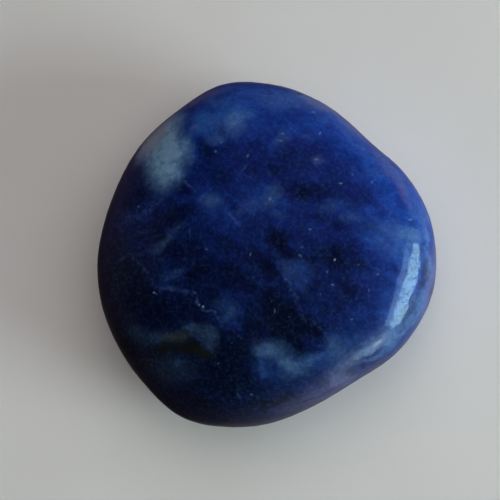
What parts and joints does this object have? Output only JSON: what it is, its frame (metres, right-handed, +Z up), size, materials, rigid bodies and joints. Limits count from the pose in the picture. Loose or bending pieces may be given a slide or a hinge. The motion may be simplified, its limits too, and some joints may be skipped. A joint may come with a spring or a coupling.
{
  "type": "tumbled sodalite stone",
  "caption": "Smooth tumbled sodalite pebble, deep blue with pale clouds, dark blotches and fine veins, that rests on a small flat spot.",
  "frame": {"origin": "bottom centre of the stone's box, in the plane of the flat spot that it rests on", "axes": "+Z up through the broad upper face, which is the stone's thickness; +Y along the longest way across the face, towards the end beside the pale grey-blue patch; +X across the face, towards the side with the straight steep wall"},
  "size_m": [0.0384, 0.0388, 0.0149],
  "materials": {
    "sodalite": "tumbled and polished, with a soft gloss and tiny pits"
  },
  "bodies": {
    "root": {"sodalite_stone": "sodalite"}
  },
  "joints": []
}
